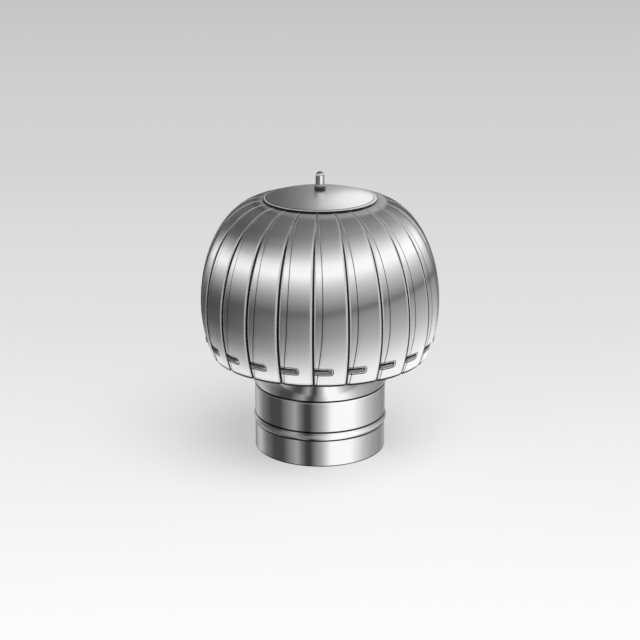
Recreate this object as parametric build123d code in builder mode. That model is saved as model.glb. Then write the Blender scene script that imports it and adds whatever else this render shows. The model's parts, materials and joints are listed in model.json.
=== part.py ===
from build123d import *

# Rotating chimney cowl for a 150 mm flue, in stainless sheet.
# +Z is up and the origin is the centre of the neck's bottom edge. Sizes are in millimetres.
# The neck stays on the flue, and the head of overlapping vanes turns on a spindle in two ball bearings.
import os
from math import asin, cos, pi, radians, sin, sqrt, tan

os.makedirs("parts", exist_ok=True)

# Fits and gaps
running_gap = 0.05       # radial, shaft in bore and balls in their grooves
seat_gap = 0.02          # radial, ring or cap in its seat
weld_gap = 0.05          # between two curved sheets that are spot welded
hole_gap = 0.15          # radial, screw or rivet in its hole
lap_gap = 0.3            # between two vanes where one lies over the other

# Neck: a beaded spigot with a flared throat set into its upper end
neck_radius = 75.0
neck_sheet = 0.6
neck_height = 77.6
bead_base = 31.5
bead_height = 8.9
bead_proud = 1.5
throat_sheet = 0.6
throat_lap = 7.0         # depth of the throat's collar inside the spigot
flare_height = 44.0
rim_wire_radius = 1.2

# Head: outline of the vanes, a quarter ellipse over a circular arc
belly_radius = 135.0
belly_height = 172.3
crown_radius = 62.4
crown_rise = 118.2
skirt_radius = 150.4     # radius of the arc below the belly
skirt_drop = 58.4

# Vanes
vane_count = 22
vane_sheet = 0.6
front = -90.0            # degrees, direction of the cowl's front about the axis
first_edge = -2.9        # degrees, free edge of the first vane from the front
crease_end = 1.2         # degrees from the covering edge to the crease, at the vane's ends
crease_middle = 4.2
tuck_end = 2.0           # degrees that a vane reaches under its neighbour, at its ends
tuck_middle = 5.5
slit_middle = 2.4        # depth of the slit under the covering edge, at mid-height
tuck_slope = 0.9         # further depth of the tucked margin, as a share of the slit
tab_length = 10.0
tab_side_gap = 0.5
corner_radius = 4.0
slot_drop = 18.8         # from the vane's lower end up to the slot's middle
slot_height = 5.2
slot_start = -1.0        # degrees from the covering edge
slot_end = 8.5
stations = 7
skirt_share = 0.36       # of the outline's length, below the belly
step_share = 0.1         # from the covering edge to the step, of the way to the crease

# Lower ring
ring_plate = 2.6
tongue_margin = 1.3      # degrees that the tongue is shorter than the slot, at each end
tongue_proud = 0.8
tongue_fillet = 1.2
ring_width = 17.0
ring_bore_gap = 6.0      # from the throat's rim out to the ring's bore
ring_vane_gap = 0.5

# Top plate, hub and dome
plate_thickness = 1.5
plate_inset = 1.5        # from the crown radius in to the plate's edge
rivet_radius = 1.5
rivet_head_radius = 2.8
rivet_head_height = 1.0
rivet_inset = 5.5        # from the crown radius in to the rivets
hub_flange_radius = 27.0
hub_flange_thickness = 4.0
hub_barrel_radius = 12.0
hub_length = 28.0
hub_screw_pitch_radius = 19.0
hub_screw_count = 4
grub_screw_count = 2
grub_angle = 90.0        # degrees between the grub screws
grub_drop = 16.0         # from the hub's top down to the grub screws
dome_radius = 63.9
dome_rise = 10.2         # of the cap above its rim
dome_rim_height = 1.4
dome_sheet = 0.8
dome_gap = 0.1           # between the dome's rim and the vanes' tabs
seal_radius = 6.2
seal_thickness = 1.0
collar_radius = 6.3
collar_height = 5.0
pin_radius = 4.9
pin_length = 20.1        # above the dome

# Screws and nuts
screw_radius = 2.5
screw_head_radius = 4.6  # across the corners
screw_head_height = 3.0
nut_height = 4.0
nut_lap = 1.5            # length of screw beyond its nut

# Bearings
bearing_bore = 10.0
bearing_outside = 26.0
bearing_width = 8.0
ball_radius = 2.38
ball_count = 7
race_wall = 2.3
race_fillet = 0.3
cage_wall = 1.9
cage_height = 6.4
cage_gap = 0.12
lower_bearing_base = 26.0
upper_bearing_base = 188.0

# Mast and bridges
mast_radius = 16.0
mast_bore_radius = 10.5
mast_tail = 6.0          # below the lower circlip
mast_nose = 3.0          # above the upper circlip
mast_cap_thickness = 1.6
mast_flange_length = 58.0
mast_flange_thickness = 3.0
flange_screw_pitch_radius = 22.0
flange_screw_count = 2
bridge_width = 34.0
bridge_sheet = 2.0
bridge_foot = 14.0
lower_bridge_base = 30.0
upper_bridge_base = 62.0

# Circlips
circlip_thickness = 1.2
circlip_width = 2.4
circlip_depth = 1.0      # of its groove
circlip_slack = 0.1      # between a circlip and each side of its groove
circlip_opening = 50.0   # degrees
circlip_eye_radius = 0.6

# Spindle and the parts on it
shoulder_radius = 6.0
spindle_tail = 3.2
spindle_chamfer = 1.0
shield_radius = 21.0
shield_skirt = 11.0
shield_sheet = 1.0
shield_boss_radius = 8.0
shield_mast_gap = 1.5
sleeve_wall = 2.0

# Heights and radii worked out from the sizes above
vane_pitch = 360.0 / vane_count
crown_height = belly_height + crown_rise
vane_foot = belly_height - skirt_drop
plate_top = crown_height - vane_sheet
plate_base = plate_top - plate_thickness
hub_flange_base = plate_base - hub_flange_thickness
neck_bore_radius = neck_radius - neck_sheet
collar_wall_radius = neck_bore_radius - weld_gap
throat_rim_height = neck_height + flare_height
slot_level = vane_foot + slot_drop
ring_base = slot_level - ring_plate / 2
spindle_radius = bearing_bore / 2
seat_radius = bearing_outside / 2 + seat_gap
ball_circle = (bearing_bore + bearing_outside) / 4
clip_space = circlip_thickness + 2 * circlip_slack
mast_base = lower_bearing_base - clip_space - mast_tail
mast_top = upper_bearing_base + bearing_width + clip_space + mast_nose
shield_top = mast_top + shield_mast_gap + shield_sheet
dome_base = crown_height + dome_gap
dome_shoulder = dome_base + dome_rim_height
dome_apex = dome_shoulder + dome_rise
dome_sphere = (dome_radius**2 + dome_rise**2) / (2 * dome_rise)
dome_centre = dome_apex - dome_sphere


def save(builder, name):
    builder.part.label = name
    export_step(builder.part, f"parts/{name}.step")


def facing(angle, height):
    """Upright plane that faces outwards at an angle round the axis, its first axis to the right."""
    turn = radians(angle)
    return Plane(origin=(0, 0, height), x_dir=(-sin(turn), cos(turn), 0), z_dir=(cos(turn), sin(turn), 0))


# Outline of the vanes' outer face and the depth of their tucked margins
foot_angle = asin(skirt_drop / skirt_radius)
half_pitch = vane_pitch / 2


def outline(fraction):
    """Reach, height and outward slope of the outer face, from 0 at the foot to 1 at the crown."""
    if fraction < skirt_share:
        turn = foot_angle * (1 - fraction / skirt_share)
        reach = belly_radius - skirt_radius * (1 - cos(turn))
        height = belly_height - skirt_radius * sin(turn)
        return reach, height, cos(turn), -sin(turn)
    turn = pi / 2 * (fraction - skirt_share) / (1 - skirt_share)
    width = belly_radius - crown_radius
    reach = crown_radius + width * cos(turn)
    height = belly_height + crown_rise * sin(turn)
    slope = Vector(crown_rise * cos(turn), width * sin(turn)).normalized()
    return reach, height, slope.X, slope.Y


def fraction_at(height):
    """Fraction of the outline at a height below the belly."""
    turn = asin((belly_height - height) / skirt_radius)
    return skirt_share * (1 - turn / foot_angle)


def swell(fraction):
    """0 at both ends of the vane and 1 at its middle."""
    return sin(pi * fraction) ** 1.3


def slit_depth(fraction):
    """Depth of the tucked margin below the covering edge."""
    closed = vane_sheet + lap_gap
    return closed + (slit_middle - closed) * swell(fraction)


def tuck_depth(fraction):
    """Depth of the tucked margin's free end."""
    return slit_depth(fraction) * (1 + tuck_slope * swell(fraction))


# Radii of the lower ring and of the throat that it runs round
slot_reach = outline(fraction_at(slot_level))[0]
ring_fraction = fraction_at(ring_base)
ring_radius = outline(ring_fraction)[0] - tuck_depth(ring_fraction) - vane_sheet - ring_vane_gap
ring_bore_radius = ring_radius - ring_width
throat_rim_radius = ring_bore_radius - ring_bore_gap


# Spigot: a thin wall turned about the axis, with a rolled bead that stops it in the flue
bead_top = bead_base + bead_height
bead_middle = bead_base + bead_height / 2
with BuildPart() as spigot:
    with BuildSketch(Plane.XZ):
        with BuildLine():
            Polyline(
                (neck_bore_radius, bead_base), (neck_bore_radius, 0), (neck_radius, 0), (neck_radius, bead_base)
            )
            ThreePointArc(
                (neck_radius, bead_base), (neck_radius + bead_proud, bead_middle), (neck_radius, bead_top)
            )
            Polyline(
                (neck_radius, bead_top),
                (neck_radius, neck_height),
                (neck_bore_radius, neck_height),
                (neck_bore_radius, bead_top),
            )
            ThreePointArc(
                (neck_bore_radius, bead_top),
                (neck_bore_radius + bead_proud, bead_middle),
                (neck_bore_radius, bead_base),
            )
        make_face()
    revolve(axis=Axis.Z)
save(spigot, "spigot")


# Throat: a flared ring with a collar inside the spigot and a wired rim
with BuildPart() as throat:
    with BuildSketch(Plane.XZ):
        with BuildLine():
            Polyline(
                (collar_wall_radius - throat_sheet, neck_height - throat_lap),
                (collar_wall_radius, neck_height - throat_lap),
                (collar_wall_radius, neck_height),
                (throat_rim_radius, throat_rim_height),
                (throat_rim_radius - throat_sheet, throat_rim_height),
                (collar_wall_radius - throat_sheet, neck_height),
                close=True,
            )
        make_face()
        with Locations((throat_rim_radius - throat_sheet / 2, throat_rim_height)):
            Circle(rim_wire_radius)
    revolve(axis=Axis.Z)
save(throat, "throat")


# Bridges: straps across the neck with bent feet, spot welded to its wall
bridge_reach = neck_bore_radius - weld_gap
for name, base, screws in [
    ("lower_bridge", lower_bridge_base, False),
    ("upper_bridge", upper_bridge_base, True),
]:
    top = base + bridge_sheet
    with BuildPart() as bridge:
        with BuildSketch(Plane.XY.offset(base)):
            Circle(bridge_reach)
            Rectangle(2 * neck_radius, bridge_width, mode=Mode.INTERSECT)
            Circle(mast_radius + weld_gap, mode=Mode.SUBTRACT)
            if screws:
                with PolarLocations(flange_screw_pitch_radius, flange_screw_count):
                    Circle(screw_radius + hole_gap, mode=Mode.SUBTRACT)
        extrude(amount=bridge_sheet)
        with BuildSketch(Plane.XY.offset(top)):
            Circle(bridge_reach)
            Circle(bridge_reach - bridge_sheet, mode=Mode.SUBTRACT)
            Rectangle(2 * neck_radius, bridge_width, mode=Mode.INTERSECT)
        extrude(amount=-bridge_foot)
        bends = bridge.edges().filter_by(GeomType.CIRCLE).group_by(Axis.Z)[-1]
        fillet(bends.sort_by(SortBy.RADIUS)[-2:], bridge_sheet * 0.6)
    save(bridge, name)


# Mast: a turned tube with a bearing seat and a circlip groove at each end
lower_clip_base = lower_bearing_base - circlip_slack - circlip_thickness
upper_clip_base = upper_bearing_base + bearing_width + circlip_slack
flange_base = upper_bridge_base + bridge_sheet
groove_radius = seat_radius + circlip_depth
with BuildPart() as mast:
    with BuildSketch(Plane.XY.offset(mast_base)):
        Circle(mast_radius)
    extrude(amount=mast_top - mast_base)
    with BuildSketch(Plane.XY.offset(flange_base)):
        SlotOverall(mast_flange_length, bridge_width)
    extrude(amount=mast_flange_thickness)
    with BuildSketch(Plane.XZ):
        with BuildLine():
            Polyline(
                (0, mast_base - 1),
                (seat_radius, mast_base - 1),
                (seat_radius, lower_bearing_base - clip_space),
                (groove_radius, lower_bearing_base - clip_space),
                (groove_radius, lower_bearing_base),
                (seat_radius, lower_bearing_base),
                (seat_radius, lower_bearing_base + bearing_width),
                (mast_bore_radius, lower_bearing_base + bearing_width),
                (mast_bore_radius, upper_bearing_base),
                (seat_radius, upper_bearing_base),
                (seat_radius, upper_bearing_base + bearing_width),
                (groove_radius, upper_bearing_base + bearing_width),
                (groove_radius, upper_bearing_base + bearing_width + clip_space),
                (seat_radius, upper_bearing_base + bearing_width + clip_space),
                (seat_radius, mast_top + 1),
                (0, mast_top + 1),
                close=True,
            )
        make_face()
    revolve(axis=Axis.Z, mode=Mode.SUBTRACT)
    with BuildSketch(Plane.XY.offset(flange_base)):
        with PolarLocations(flange_screw_pitch_radius, flange_screw_count):
            Circle(screw_radius + hole_gap)
    extrude(amount=mast_flange_thickness, mode=Mode.SUBTRACT)
save(mast, "mast")

with BuildPart() as mast_cap:
    with BuildSketch(Plane.XY.offset(mast_base)):
        Circle(seat_radius - seat_gap)
    extrude(amount=mast_cap_thickness)
    fillet(mast_cap.edges().group_by(Axis.Z)[0], mast_cap_thickness / 3)
save(mast_cap, "mast_cap")


# Circlips: open rings with an eye at each end, inside the mast's grooves and round the spindle
def circlip(name, base, ring_radius, eye_radius):
    """The ring runs from ring_radius on one side to its eyes on the other."""
    eye_angle = circlip_opening / 2
    with BuildPart() as clip:
        with BuildSketch(Plane.XY.offset(base)):
            Circle(max(ring_radius, eye_radius))
            Circle(min(ring_radius, eye_radius), mode=Mode.SUBTRACT)
            with BuildLine():
                far = 2 * max(ring_radius, eye_radius)
                Polyline(
                    (0, 0),
                    (far, -far * tan(radians(eye_angle))),
                    (far, far * tan(radians(eye_angle))),
                    close=True,
                )
            make_face(mode=Mode.SUBTRACT)
            middle = (ring_radius + eye_radius) / 2
            with PolarLocations(middle, 2, start_angle=-eye_angle, angular_range=4 * eye_angle):
                Circle(circlip_width / 2)
                Circle(circlip_eye_radius, mode=Mode.SUBTRACT)
        extrude(amount=circlip_thickness)
    save(clip, name)


housing_clip_radius = groove_radius - seat_gap
circlip("lower_housing_circlip", lower_clip_base, housing_clip_radius, housing_clip_radius - circlip_width)
circlip("upper_housing_circlip", upper_clip_base, housing_clip_radius, housing_clip_radius - circlip_width)


# Hexagon screws and nuts, in a ring about the axis
def hexagon_screws(name, circle, count, head_base, tip):
    with BuildPart() as screws:
        with BuildSketch(Plane.XY.offset(head_base)):
            with PolarLocations(circle, count):
                RegularPolygon(screw_head_radius, 6)
        extrude(amount=screw_head_height)
        with BuildSketch(Plane.XY.offset(head_base)):
            with PolarLocations(circle, count):
                Circle(screw_radius)
        extrude(amount=tip - head_base)
    save(screws, name)


def hexagon_nuts(name, circle, count, top):
    with BuildPart() as nuts:
        with BuildSketch(Plane.XY.offset(top)):
            with PolarLocations(circle, count):
                RegularPolygon(screw_head_radius, 6)
                Circle(screw_radius + running_gap, mode=Mode.SUBTRACT)
        extrude(amount=-nut_height)
    save(nuts, name)


flange_top = flange_base + mast_flange_thickness
flange_screw_tip = upper_bridge_base - nut_height - nut_lap
hexagon_screws("flange_screws", flange_screw_pitch_radius, flange_screw_count, flange_top, flange_screw_tip)
hexagon_nuts("flange_nuts", flange_screw_pitch_radius, flange_screw_count, upper_bridge_base)


# Ball bearings: two races, the balls and a pierced cage
inner_land = spindle_radius + race_wall
outer_land = bearing_outside / 2 - race_wall
groove = ball_radius + running_gap
for name, base in [("lower_bearing", lower_bearing_base), ("upper_bearing", upper_bearing_base)]:
    middle = base + bearing_width / 2
    with BuildPart() as outer_race:
        with BuildSketch(Plane.XY.offset(base)):
            Circle(bearing_outside / 2)
            Circle(outer_land, mode=Mode.SUBTRACT)
        extrude(amount=bearing_width)
        fillet(outer_race.edges().filter_by(GeomType.CIRCLE).sort_by(SortBy.RADIUS)[-2:], race_fillet)
        with BuildSketch(Plane.XZ):
            with Locations((ball_circle, middle)):
                Circle(groove)
        revolve(axis=Axis.Z, mode=Mode.SUBTRACT)
    save(outer_race, f"{name}_outer_race")

    with BuildPart() as inner_race:
        with BuildSketch(Plane.XY.offset(base)):
            Circle(inner_land)
            Circle(spindle_radius + seat_gap, mode=Mode.SUBTRACT)
        extrude(amount=bearing_width)
        with BuildSketch(Plane.XZ):
            with Locations((ball_circle, middle)):
                Circle(groove)
        revolve(axis=Axis.Z, mode=Mode.SUBTRACT)
    save(inner_race, f"{name}_inner_race")

    with BuildPart() as balls:
        with Locations((0, 0, middle)):
            with PolarLocations(ball_circle, ball_count):
                Sphere(ball_radius)
    save(balls, f"{name}_balls")

    with BuildPart() as cage:
        with BuildSketch(Plane.XY.offset(middle - cage_height / 2)):
            Circle(ball_circle + cage_wall / 2)
            Circle(ball_circle - cage_wall / 2, mode=Mode.SUBTRACT)
        extrude(amount=cage_height)
        with BuildSketch(*[facing(index * 360 / ball_count, middle) for index in range(ball_count)]):
            Circle(ball_radius + cage_gap)
        extrude(amount=bearing_outside, mode=Mode.SUBTRACT)
    save(cage, f"{name}_cage")


# Spindle: one turned bar that ends in the rounded pin above the dome
spindle_clip_base = lower_bearing_base - circlip_slack - circlip_thickness
spindle_groove_radius = spindle_radius - circlip_depth
spindle_base = lower_bearing_base - clip_space - spindle_tail
dome_seat = dome_centre + sqrt((dome_sphere - dome_sheet) ** 2 - shoulder_radius**2) - seat_gap
pin_top = dome_apex + pin_length
with BuildPart() as spindle:
    with BuildSketch(Plane.XZ):
        with BuildLine():
            Polyline(
                (0, pin_top - pin_radius),
                (0, spindle_base),
                (spindle_radius - spindle_chamfer, spindle_base),
                (spindle_radius, spindle_base + spindle_chamfer),
                (spindle_radius, lower_bearing_base - clip_space),
                (spindle_groove_radius, lower_bearing_base - clip_space),
                (spindle_groove_radius, lower_bearing_base),
                (spindle_radius, lower_bearing_base),
                (spindle_radius, shield_top),
                (shoulder_radius, shield_top),
                (shoulder_radius, dome_seat),
                (pin_radius, dome_seat),
                (pin_radius, pin_top - pin_radius),
                close=True,
            )
        make_face()
        with Locations((0, pin_top - pin_radius)):
            Circle(pin_radius)
        with Locations((-pin_radius, pin_top - pin_radius)):
            Rectangle(2 * pin_radius, 2 * pin_radius, mode=Mode.SUBTRACT)
    revolve(axis=Axis.Z)
save(spindle, "spindle")

circlip(
    "spindle_circlip",
    spindle_clip_base,
    spindle_groove_radius + seat_gap,
    spindle_groove_radius + circlip_width,
)

sleeve_base = lower_bearing_base + bearing_width
with BuildPart() as spacer_sleeve:
    with BuildSketch(Plane.XY.offset(sleeve_base)):
        Circle(spindle_radius + running_gap + sleeve_wall)
        Circle(spindle_radius + running_gap, mode=Mode.SUBTRACT)
    extrude(amount=upper_bearing_base - sleeve_base)
save(spacer_sleeve, "spacer_sleeve")

# Rain shield: a cup clamped under the spindle's shoulder, hanging over the mast's end
with BuildPart() as rain_shield:
    with BuildSketch(Plane.XZ):
        with BuildLine():
            Polyline(
                (spindle_radius + running_gap, upper_bearing_base + bearing_width),
                (shield_boss_radius, upper_bearing_base + bearing_width),
                (shield_boss_radius, shield_top - shield_sheet),
                (shield_radius - shield_sheet, shield_top - shield_sheet),
                (shield_radius - shield_sheet, shield_top - shield_skirt),
                (shield_radius, shield_top - shield_skirt),
                (shield_radius, shield_top),
                (spindle_radius + running_gap, shield_top),
                close=True,
            )
        make_face()
    revolve(axis=Axis.Z)
    shield_edges = rain_shield.edges().filter_by(GeomType.CIRCLE).group_by(Axis.Z)[-1]
    fillet(shield_edges.sort_by(SortBy.RADIUS)[-1], shield_sheet * 0.8)
save(rain_shield, "rain_shield")


# Hub: a flanged bush held to the spindle by grub screws
hub_base = plate_base - hub_length
grub_level = plate_base - grub_drop
grub_places = [facing(index * grub_angle, grub_level) for index in range(grub_screw_count)]
with BuildPart() as hub:
    with BuildSketch(Plane.XY.offset(hub_base)):
        Circle(hub_barrel_radius)
    extrude(amount=hub_length)
    with BuildSketch(Plane.XY.offset(hub_flange_base)):
        Circle(hub_flange_radius)
    extrude(amount=hub_flange_thickness)
    with BuildSketch(Plane.XY.offset(hub_base)):
        Circle(shoulder_radius + running_gap)
    extrude(amount=hub_length, mode=Mode.SUBTRACT)
    with BuildSketch(Plane.XY.offset(hub_flange_base)):
        with PolarLocations(hub_screw_pitch_radius, hub_screw_count):
            Circle(screw_radius + hole_gap)
    extrude(amount=hub_flange_thickness, mode=Mode.SUBTRACT)
    with BuildSketch(*grub_places):
        Circle(screw_radius + running_gap)
    extrude(amount=hub_barrel_radius, mode=Mode.SUBTRACT)
save(hub, "hub")

grub_inner = shoulder_radius + running_gap
with BuildPart() as hub_grub_screws:
    with BuildSketch(*[place.offset(grub_inner) for place in grub_places]):
        Circle(screw_radius)
    extrude(amount=hub_barrel_radius - grub_inner)
    with BuildSketch(*[place.offset(hub_barrel_radius) for place in grub_places]):
        RegularPolygon(screw_radius * 0.6, 6)
    extrude(amount=-screw_radius, mode=Mode.SUBTRACT)
save(hub_grub_screws, "hub_grub_screws")

hexagon_screws(
    "hub_screws", hub_screw_pitch_radius, hub_screw_count, plate_top, hub_flange_base - nut_height - nut_lap
)
hexagon_nuts("hub_nuts", hub_screw_pitch_radius, hub_screw_count, hub_flange_base)


# Top plate: a disc that carries the vanes' tabs
rivet_circle = crown_radius - rivet_inset
tab_turn = front + first_edge - vane_pitch / 2
with BuildPart() as top_plate:
    with BuildSketch(Plane.XY.offset(plate_base)):
        Circle(crown_radius - plate_inset)
        Circle(shoulder_radius + hole_gap, mode=Mode.SUBTRACT)
        with PolarLocations(hub_screw_pitch_radius, hub_screw_count):
            Circle(screw_radius + hole_gap, mode=Mode.SUBTRACT)
        with PolarLocations(rivet_circle, vane_count, start_angle=tab_turn):
            Circle(rivet_radius + hole_gap, mode=Mode.SUBTRACT)
    extrude(amount=plate_thickness)
save(top_plate, "top_plate")


# Vanes: bent strips lofted from the foot to the crown, each lapped by the one to its left
def outer_corners(fraction):
    """Corners across the sheet's outer side: edge, pole of its arc, crease, step and free end."""
    reach, height, across, up = outline(fraction)
    crease = crease_end + (crease_middle - crease_end) * swell(fraction)
    tuck = tuck_end + (tuck_middle - tuck_end) * swell(fraction)

    def corner(angle, radius):
        turn = radians(angle)
        return radius * sin(turn), (radius * cos(turn) - reach) * across

    pole_radius = reach / cos(radians((vane_pitch - crease) / 2))
    return [
        corner(half_pitch, reach),
        corner(crease / 2, pole_radius),
        corner(crease - half_pitch, reach),
        lowered(corner(crease * step_share - half_pitch, reach), slit_depth(fraction)),
        lowered(corner(-half_pitch - tuck, reach), tuck_depth(fraction)),
    ]


def lowered(point, depth):
    return point[0], point[1] - depth


def parallel(points, distance):
    """The same open outline moved sideways by a distance, with mitred corners."""
    sides = []
    for start, end in zip(points, points[1:]):
        run = (Vector(*end) - Vector(*start)).normalized()
        sides.append(Vector(-run.Y, run.X))
    moved = []
    for index, point in enumerate(points):
        before = sides[max(index - 1, 0)]
        after = sides[min(index, len(sides) - 1)]
        mitre = (before + after) * (distance / (1 + before.dot(after)))
        moved.append((point[0] + mitre.X, point[1] + mitre.Y))
    return moved


def across_outline(fraction):
    """Plane square to the outline, its first axis to the right and its second outwards."""
    reach, height, across, up = outline(fraction)
    return Plane(origin=(reach, 0, height), x_dir=(0, 1, 0), z_dir=(up, 0, -across))


slot_middle = (slot_start + slot_end) / 2 - half_pitch
slot_length = slot_reach * radians(slot_end - slot_start)
with BuildPart() as vane:
    for index in range(stations):
        fraction = index / (stations - 1)
        outer = outer_corners(fraction)
        inner = parallel(outer, vane_sheet)
        with BuildSketch(across_outline(fraction)):
            with BuildLine():
                Bezier(*outer[:3])
                Polyline(*outer[2:], *reversed(inner[2:]))
                Bezier(*reversed(inner[:3]))
                Line(inner[0], outer[0])
            make_face()
    loft()
    # Flat tab under the dome
    with BuildSketch(Plane.XY.offset(plate_top)):
        with BuildLine():
            outer_half = crown_radius * tan(radians(half_pitch)) - tab_side_gap
            inner_half = (crown_radius - tab_length) * tan(radians(half_pitch)) - tab_side_gap
            Polyline(
                (crown_radius, -outer_half + crown_radius * radians(crease_end)),
                (crown_radius - tab_length, -inner_half),
                (crown_radius - tab_length, inner_half),
                (crown_radius, outer_half),
                close=True,
            )
        make_face()
    extrude(amount=vane_sheet)
    with BuildSketch(Plane.XY.offset(plate_top)):
        with Locations((rivet_circle, 0)):
            Circle(rivet_radius + hole_gap)
    extrude(amount=vane_sheet, mode=Mode.SUBTRACT)
    # Slot for the lower ring's tongue
    with BuildSketch(facing(slot_middle, slot_level)):
        SlotOverall(slot_length, slot_height)
    extrude(amount=belly_radius, mode=Mode.SUBTRACT)
    # Rounded lower corner of the free edge
    with BuildSketch(facing(half_pitch, vane_foot)):
        with Locations((-corner_radius, -corner_radius)):
            Rectangle(2 * corner_radius, 2 * corner_radius, align=(Align.MIN, Align.MIN))
        with Locations((-corner_radius, corner_radius)):
            Circle(corner_radius, mode=Mode.SUBTRACT)
    extrude(amount=belly_radius, mode=Mode.SUBTRACT)

for index in range(vane_count):
    turned = vane.part.rotate(Axis.Z, tab_turn + index * vane_pitch)
    turned.label = f"vane_{index + 1:02d}"
    export_step(turned, f"parts/{turned.label}.step")


# Rivets through the tabs and the top plate, domed above and closed below
with BuildPart() as vane_rivets:
    with BuildSketch(Plane.XY.offset(plate_base - rivet_head_height)):
        with PolarLocations(rivet_circle, vane_count, start_angle=tab_turn):
            Circle(rivet_radius)
    extrude(amount=crown_height - plate_base + 2 * rivet_head_height)
    for base, height in [(crown_height, rivet_head_height), (plate_base, -rivet_head_height)]:
        with BuildSketch(Plane.XY.offset(base)):
            with PolarLocations(rivet_circle, vane_count, start_angle=tab_turn):
                Circle(rivet_head_radius)
        extrude(amount=height, taper=40)
save(vane_rivets, "vane_rivets")


# Lower ring: a flat ring whose tongues pass out through the vanes' slots
tongue_reach = slot_reach + tongue_proud
tongue_width = slot_reach * radians(slot_end - slot_start - 2 * tongue_margin)
with BuildPart() as lower_ring:
    with BuildSketch(Plane.XY.offset(ring_base)):
        Circle(ring_radius)
        with PolarLocations(0, vane_count, start_angle=tab_turn + slot_middle):
            Rectangle(tongue_reach, tongue_width, align=(Align.MIN, Align.CENTER))
        Circle(ring_bore_radius, mode=Mode.SUBTRACT)
    extrude(amount=ring_plate)
    tips = lower_ring.edges().filter_by(Axis.Z).group_by(lambda edge: edge.center().X**2 + edge.center().Y**2)
    fillet(tips[-1], tongue_fillet)
save(lower_ring, "lower_ring")


# Dome: a shallow cap with a short turned rim that stands on the vanes' tabs
with BuildPart() as dome:
    with BuildSketch(Plane.XZ):
        with Locations((0, dome_centre)):
            Circle(dome_sphere)
            Circle(dome_sphere - dome_sheet, mode=Mode.SUBTRACT)
        with Locations((pin_radius + hole_gap, dome_shoulder)):
            Rectangle(
                dome_radius - pin_radius - hole_gap,
                2 * dome_rise,
                align=(Align.MIN, Align.MIN),
                mode=Mode.INTERSECT,
            )
        with Locations((dome_radius - dome_sheet, dome_base)):
            Rectangle(dome_sheet, dome_rim_height, align=(Align.MIN, Align.MIN))
    revolve(axis=Axis.Z)
save(dome, "dome")

with BuildPart() as seal_washer:
    with BuildSketch(Plane.XY.offset(dome_apex)):
        Circle(seal_radius)
        Circle(pin_radius + running_gap, mode=Mode.SUBTRACT)
    extrude(amount=seal_thickness)
save(seal_washer, "seal_washer")

with BuildPart() as dome_collar:
    with BuildSketch(Plane.XY.offset(dome_apex + seal_thickness)):
        Circle(collar_radius)
        Circle(pin_radius + running_gap, mode=Mode.SUBTRACT)
    extrude(amount=collar_height)
    collar_edges = dome_collar.edges().filter_by(GeomType.CIRCLE).group_by(Axis.Z)[-1]
    fillet(collar_edges.sort_by(SortBy.RADIUS)[-1], (collar_radius - pin_radius) * 0.7)
save(dome_collar, "dome_collar")
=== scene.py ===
import json
from math import asin, cos, degrees, hypot, pi, radians, sin

import bmesh
import bpy
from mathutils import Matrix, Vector
from mathutils.geometry import delaunay_2d_cdt


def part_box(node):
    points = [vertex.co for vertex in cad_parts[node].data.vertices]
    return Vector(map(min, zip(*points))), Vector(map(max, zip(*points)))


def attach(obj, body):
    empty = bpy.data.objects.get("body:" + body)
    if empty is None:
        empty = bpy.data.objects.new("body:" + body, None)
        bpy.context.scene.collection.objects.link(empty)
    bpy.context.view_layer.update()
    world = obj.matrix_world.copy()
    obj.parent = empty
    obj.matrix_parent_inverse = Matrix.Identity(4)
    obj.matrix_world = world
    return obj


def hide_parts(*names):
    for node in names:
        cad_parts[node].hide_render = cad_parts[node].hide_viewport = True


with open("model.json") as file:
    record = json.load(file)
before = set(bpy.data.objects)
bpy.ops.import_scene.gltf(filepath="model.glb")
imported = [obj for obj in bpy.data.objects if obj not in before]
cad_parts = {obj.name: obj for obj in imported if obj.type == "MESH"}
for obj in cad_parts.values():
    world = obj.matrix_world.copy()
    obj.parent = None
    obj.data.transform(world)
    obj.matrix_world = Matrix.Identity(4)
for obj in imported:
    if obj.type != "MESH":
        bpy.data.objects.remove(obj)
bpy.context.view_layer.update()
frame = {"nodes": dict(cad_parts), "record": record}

nodes = frame["nodes"]
scene = bpy.context.scene
mm = 0.001
print("frame loaded,", len(nodes), "nodes")


# a socket that takes part in Python expressions
class Wire:
    def __init__(self, tree, socket):
        self.tree = tree
        self.socket = socket

    def math(self, operation, *values):
        return self.tree.add("ShaderNodeMath", {"operation": operation}, *values)

    def __add__(self, other):
        return self.math("ADD", self, other)

    def __radd__(self, other):
        return self.math("ADD", other, self)

    def __sub__(self, other):
        return self.math("SUBTRACT", self, other)

    def __rsub__(self, other):
        return self.math("SUBTRACT", other, self)

    def __mul__(self, other):
        return self.math("MULTIPLY", self, other)

    def __rmul__(self, other):
        return self.math("MULTIPLY", other, self)

    def __truediv__(self, other):
        return self.math("DIVIDE", self, other)


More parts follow.
